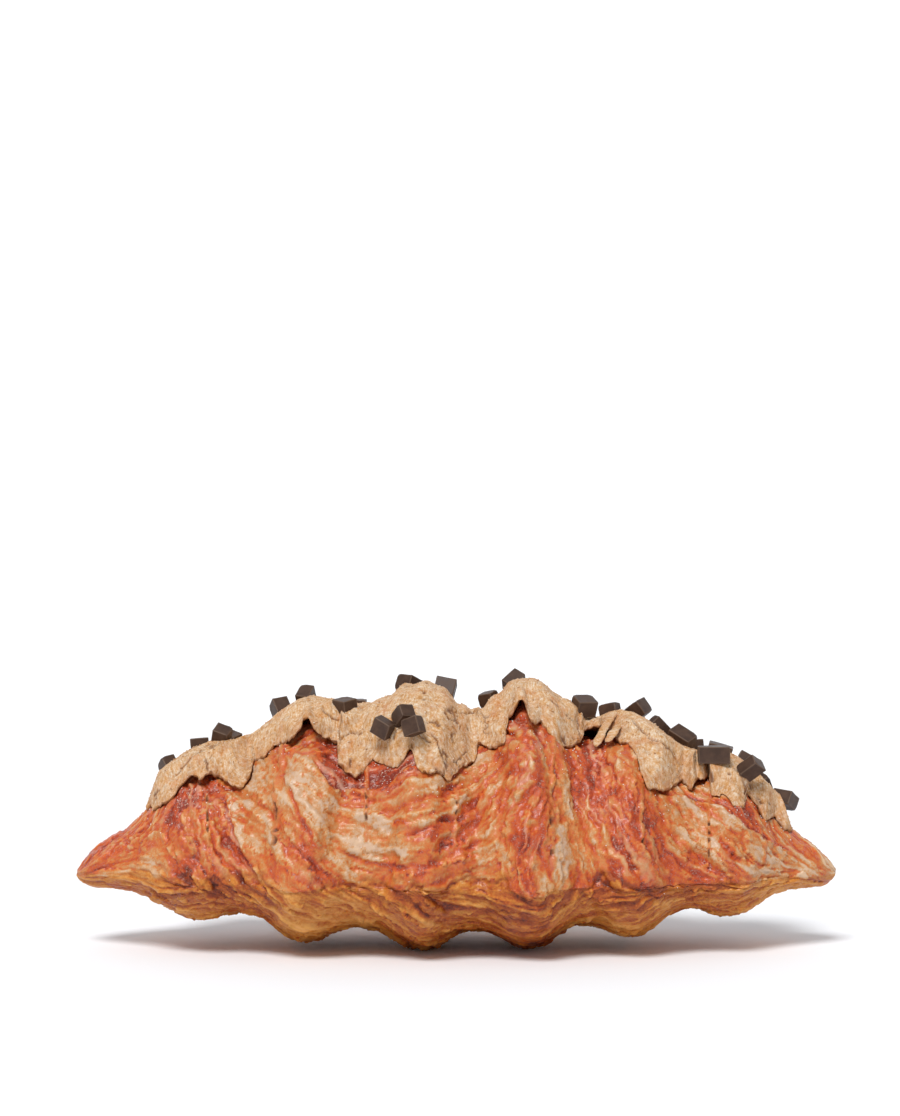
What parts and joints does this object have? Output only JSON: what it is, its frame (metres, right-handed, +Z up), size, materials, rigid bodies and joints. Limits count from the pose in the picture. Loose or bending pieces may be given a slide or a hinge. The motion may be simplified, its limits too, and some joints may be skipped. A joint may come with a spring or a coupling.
{
  "type": "cookie croissant",
  "caption": "Straight baked croissant with a torn cookie sheet draped over its top and chunks of dark chocolate strewn over it.",
  "frame": {"origin": "on the table, under the middle of the croissant", "axes": "+X along the roll from tip to tip, -Y out of the front flank, +Z up"},
  "size_m": [0.1812, 0.0711, 0.0654],
  "materials": {
    "crust": "egg-washed flaky crust, glossy",
    "cookie": "dry baked cookie, matte",
    "chocolate": "dark chocolate, satin"
  },
  "bodies": {
    "root": {"croissant": "crust", "cookie_sheet": "cookie", "chunk_01": "chocolate", "chunk_02": "chocolate", "chunk_03": "chocolate", "chunk_04": "chocolate", "chunk_05": "chocolate", "chunk_06": "chocolate", "chunk_07": "chocolate", "chunk_08": "chocolate", "chunk_09": "chocolate", "chunk_10": "chocolate", "chunk_11": "chocolate", "chunk_12": "chocolate", "chunk_13": "chocolate", "chunk_14": "chocolate", "chunk_15": "chocolate", "chunk_16": "chocolate", "chunk_17": "chocolate", "chunk_18": "chocolate", "chunk_19": "chocolate", "chunk_20": "chocolate", "chunk_21": "chocolate", "chunk_22": "chocolate", "chunk_23": "chocolate", "chunk_24": "chocolate", "chunk_25": "chocolate", "chunk_26": "chocolate", "chunk_27": "chocolate", "chunk_28": "chocolate", "chunk_29": "chocolate", "chunk_30": "chocolate", "chunk_31": "chocolate", "chunk_32": "chocolate", "chunk_33": "chocolate", "chunk_34": "chocolate", "chunk_35": "chocolate", "chunk_36": "chocolate", "chunk_37": "chocolate", "chunk_38": "chocolate", "chunk_39": "chocolate", "chunk_40": "chocolate", "chunk_41": "chocolate"}
  },
  "joints": []
}
